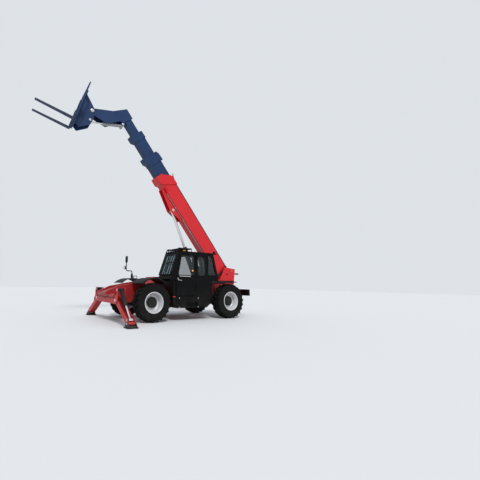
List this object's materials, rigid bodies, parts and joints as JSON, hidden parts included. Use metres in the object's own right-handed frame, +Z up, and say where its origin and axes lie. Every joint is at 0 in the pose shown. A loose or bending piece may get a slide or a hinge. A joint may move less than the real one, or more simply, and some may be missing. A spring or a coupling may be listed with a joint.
{
  "type": "telehandler",
  "caption": "Telehandler with a part extended telescopic boom raised in front of its pivot, pallet forks, side cab, spread front stabilisers and steered wheels.",
  "frame": {"origin": "on the floor under the middle of the machine's length and width", "axes": "+X towards the forks, +Y to the driver's left, +Z up"},
  "size_m": [8.2217, 4.15, 7.7633],
  "materials": {
    "red_paint": "gloss enamel, slightly weathered",
    "dark_paint": "dark satin enamel",
    "fork_steel": "dark paint, worn on the blades",
    "rod_chrome": "polished",
    "tyre_rubber": "matt",
    "rim_paint": "pale satin paint",
    "cab_glass": "clear, slightly green",
    "black_plastic": "matt",
    "seat_fabric": "woven",
    "engine_iron": "painted casting",
    "lamp_lens": "clear lens"
  },
  "bodies": {
    "chassis": {"chassis_frame": "red_paint", "rear_tower": "red_paint", "axle_front": "dark_paint", "axle_rear": "dark_paint", "front_nose": "red_paint", "stabiliser_beam": "red_paint", "cab_shell": "dark_paint", "cab_glass": "cab_glass", "cab_guards": "dark_paint", "seat": "seat_fabric", "steering_column": "black_plastic", "side_box": "dark_paint", "engine_tray": "dark_paint", "engine_block": "engine_iron", "counterweight": "dark_paint", "rear_bumper": "dark_paint", "tow_hitch": "dark_paint", "mudguards": "black_plastic", "lamps": "lamp_lens", "mirrors": "dark_paint"},
    "boom_outer_body": {"boom_outer": "red_paint"},
    "boom_second_body": {"boom_section_second": "dark_paint"},
    "boom_third_body": {"boom_section_third": "dark_paint"},
    "boom_fourth_body": {"boom_section_fourth": "dark_paint", "boom_head": "dark_paint"},
    "carriage_body": {"carriage_coupler": "dark_paint", "fork_frame": "dark_paint", "forks": "fork_steel"},
    "lift_rod_body": {"lift_rod": "rod_chrome"},
    "lift_barrel_body": {"lift_barrel": "dark_paint"},
    "compensation_barrel_body": {"compensation_barrel": "dark_paint"},
    "compensation_rod_body": {"compensation_rod": "rod_chrome"},
    "tilt_barrel_body": {"tilt_barrel": "dark_paint"},
    "tilt_rod_body": {"tilt_rod": "rod_chrome"},
    "door_body": {"door_panel": "dark_paint", "door_glass": "cab_glass"},
    "hood_body": {"engine_hood": "red_paint"},
    "leg_left_body": {"stabiliser_leg_left": "red_paint", "stabiliser_pad_left": "dark_paint"},
    "stabiliser_barrel_left_body": {"stabiliser_barrel_left": "dark_paint"},
    "stabiliser_rod_left_body": {"stabiliser_rod_left": "rod_chrome"},
    "knuckle_front_left_body": {"knuckle_front_left": "dark_paint"},
    "wheel_front_left_body": {"tyre_front_left": "tyre_rubber", "rim_front_left": "rim_paint"},
    "knuckle_rear_left_body": {"knuckle_rear_left": "dark_paint"},
    "wheel_rear_left_body": {"tyre_rear_left": "tyre_rubber", "rim_rear_left": "rim_paint"},
    "leg_right_body": {"stabiliser_leg_right": "red_paint", "stabiliser_pad_right": "dark_paint"},
    "stabiliser_barrel_right_body": {"stabiliser_barrel_right": "dark_paint"},
    "stabiliser_rod_right_body": {"stabiliser_rod_right": "rod_chrome"},
    "knuckle_front_right_body": {"knuckle_front_right": "dark_paint"},
    "wheel_front_right_body": {"tyre_front_right": "tyre_rubber", "rim_front_right": "rim_paint"},
    "knuckle_rear_right_body": {"knuckle_rear_right": "dark_paint"},
    "wheel_rear_right_body": {"tyre_rear_right": "tyre_rubber", "rim_rear_right": "rim_paint"}
  },
  "joints": [
    {"name": "boom_lift", "type": "hinge", "parent": "chassis", "child": "boom_outer_body", "pos_m": [-3.641, 0, 1.7], "axis": [0, -1, 0], "range_deg": [-52, 16]},
    {"name": "telescope_second", "type": "slide", "parent": "boom_outer_body", "child": "boom_second_body", "axis": [0.6157, 0, 0.788], "range_m": [-0.4, 3.05]},
    {"name": "telescope_third", "type": "slide", "parent": "boom_second_body", "child": "boom_third_body", "axis": [0.6157, 0, 0.788], "range_m": [-0.41, 3.06]},
    {"name": "telescope_fourth", "type": "slide", "parent": "boom_third_body", "child": "boom_fourth_body", "axis": [0.6157, 0, 0.788], "range_m": [-0.41, 3.06]},
    {"name": "carriage_tilt", "type": "hinge", "parent": "boom_fourth_body", "child": "carriage_body", "pos_m": [2.28358, 0, 6.94417], "axis": [0, 1, 0], "range_deg": [-50, 70]},
    {"name": "lift_rod_swing", "type": "hinge", "parent": "boom_outer_body", "child": "lift_rod_body", "pos_m": [-1.03136, 0, 3.88696], "axis": [0, -1, 0], "range_deg": [-2.73, 0.93]},
    {"name": "lift_barrel_slide", "type": "slide", "parent": "lift_rod_body", "child": "lift_barrel_body", "axis": [-0.3927, 0, -0.9197], "range_m": [-1.3607, 0.4434]},
    {"name": "compensation_barrel_swing", "type": "hinge", "parent": "chassis", "child": "compensation_barrel_body", "pos_m": [-2.851, 0.249, 1.31], "axis": [0, -1, 0], "range_deg": [-3.18, 9.66]},
    {"name": "compensation_rod_slide", "type": "slide", "parent": "compensation_barrel_body", "child": "compensation_rod_body", "axis": [-0.7209, 0, 0.693], "range_m": [-0.1966, 0.0646]},
    {"name": "tilt_barrel_swing", "type": "hinge", "parent": "boom_fourth_body", "child": "tilt_barrel_body", "pos_m": [1.13602, 0, 6.77477], "axis": [0, -1, 0], "range_deg": [-2.95, 2.15]},
    {"name": "tilt_rod_slide", "type": "slide", "parent": "tilt_barrel_body", "child": "tilt_rod_body", "axis": [0.9874, 0, -0.1585], "range_m": [-0.3801, 0.2754]},
    {"name": "stabiliser_left", "type": "hinge", "parent": "chassis", "child": "leg_left_body", "pos_m": [1.279, 0.9, 0.66], "axis": [1, 0, 0], "range_deg": [0, 75]},
    {"name": "stabiliser_barrel_left_swing", "type": "hinge", "parent": "chassis", "child": "stabiliser_barrel_left_body", "pos_m": [1.279, 1.02, 0.97], "axis": [1, 0, 0], "range_deg": [-1.71, 84.54]},
    {"name": "stabiliser_rod_left_slide", "type": "slide", "parent": "stabiliser_barrel_left_body", "child": "stabiliser_rod_left_body", "axis": [0, 0.7071, -0.7071], "range_m": [-0.3954, 0.0087]},
    {"name": "stabiliser_right", "type": "hinge", "parent": "chassis", "child": "leg_right_body", "pos_m": [1.279, -0.9, 0.66], "axis": [-1, 0, 0], "range_deg": [0, 75]},
    {"name": "stabiliser_barrel_right_swing", "type": "hinge", "parent": "chassis", "child": "stabiliser_barrel_right_body", "pos_m": [1.279, -1.02, 0.97], "axis": [-1, 0, 0], "range_deg": [-1.71, 84.54]},
    {"name": "stabiliser_rod_right_slide", "type": "slide", "parent": "stabiliser_barrel_right_body", "child": "stabiliser_rod_right_body", "axis": [0, -0.7071, -0.7071], "range_m": [-0.3954, 0.0087]},
    {"name": "steer_front_left", "type": "hinge", "parent": "chassis", "child": "knuckle_front_left_body", "pos_m": [0.249, 0.72, 0.59], "axis": [0, 0, 1], "range_deg": [-35, 35]},
    {"name": "wheel_front_left", "type": "hinge", "parent": "knuckle_front_left_body", "child": "wheel_front_left_body", "pos_m": [0.249, 1.005, 0.59], "axis": [0, 1, 0], "continuous": true},
    {"name": "steer_front_right", "type": "hinge", "parent": "chassis", "child": "knuckle_front_right_body", "pos_m": [0.249, -0.72, 0.59], "axis": [0, 0, 1], "range_deg": [-35.5, 35.5]},
    {"name": "wheel_front_right", "type": "hinge", "parent": "knuckle_front_right_body", "child": "wheel_front_right_body", "pos_m": [0.249, -1.005, 0.59], "axis": [0, 1, 0], "continuous": true},
    {"name": "steer_rear_left", "type": "hinge", "parent": "chassis", "child": "knuckle_rear_left_body", "pos_m": [-2.821, 0.72, 0.59], "axis": [0, 0, 1], "range_deg": [-35, 35]},
    {"name": "wheel_rear_left", "type": "hinge", "parent": "knuckle_rear_left_body", "child": "wheel_rear_left_body", "pos_m": [-2.821, 1.005, 0.59], "axis": [0, 1, 0], "continuous": true},
    {"name": "steer_rear_right", "type": "hinge", "parent": "chassis", "child": "knuckle_rear_right_body", "pos_m": [-2.821, -0.72, 0.59], "axis": [0, 0, 1], "range_deg": [-35.5, 35.5]},
    {"name": "wheel_rear_right", "type": "hinge", "parent": "knuckle_rear_right_body", "child": "wheel_rear_right_body", "pos_m": [-2.821, -1.005, 0.59], "axis": [0, 1, 0], "continuous": true},
    {"name": "door_swing", "type": "hinge", "parent": "chassis", "child": "door_body", "pos_m": [-1.335, 1.166, 1.45], "axis": [0, 0, 1], "range_deg": [0, 85]},
    {"name": "hood_lift", "type": "hinge", "parent": "chassis", "child": "hood_body", "pos_m": [-1.276, -0.34, 1.39], "axis": [-1, 0, 0], "range_deg": [0, 60]}
  ],
  "couplings": [
    {"joint": "telescope_third", "follows": "telescope_second", "ratio": 1},
    {"joint": "telescope_fourth", "follows": "telescope_second", "ratio": 1},
    {"joint": "lift_rod_swing", "follows": "boom_lift", "ratio": 0.05},
    {"joint": "lift_barrel_slide", "follows": "boom_lift", "m_per_rad": 1.46},
    {"joint": "compensation_barrel_swing", "follows": "boom_lift", "ratio": -0.18},
    {"joint": "compensation_rod_slide", "follows": "boom_lift", "m_per_rad": 0.21},
    {"joint": "tilt_barrel_swing", "follows": "carriage_tilt", "ratio": -0.04},
    {"joint": "tilt_rod_slide", "follows": "carriage_tilt", "m_per_rad": -0.3},
    {"joint": "stabiliser_barrel_left_swing", "follows": "stabiliser_left", "ratio": 1.1043},
    {"joint": "stabiliser_rod_left_slide", "follows": "stabiliser_left", "m_per_rad": -0.2954},
    {"joint": "stabiliser_barrel_right_swing", "follows": "stabiliser_right", "ratio": 1.1043},
    {"joint": "stabiliser_rod_right_slide", "follows": "stabiliser_right", "m_per_rad": -0.2954},
    {"joint": "steer_front_right", "follows": "steer_front_left", "ratio": 1},
    {"joint": "steer_rear_right", "follows": "steer_rear_left", "ratio": 1}
  ]
}
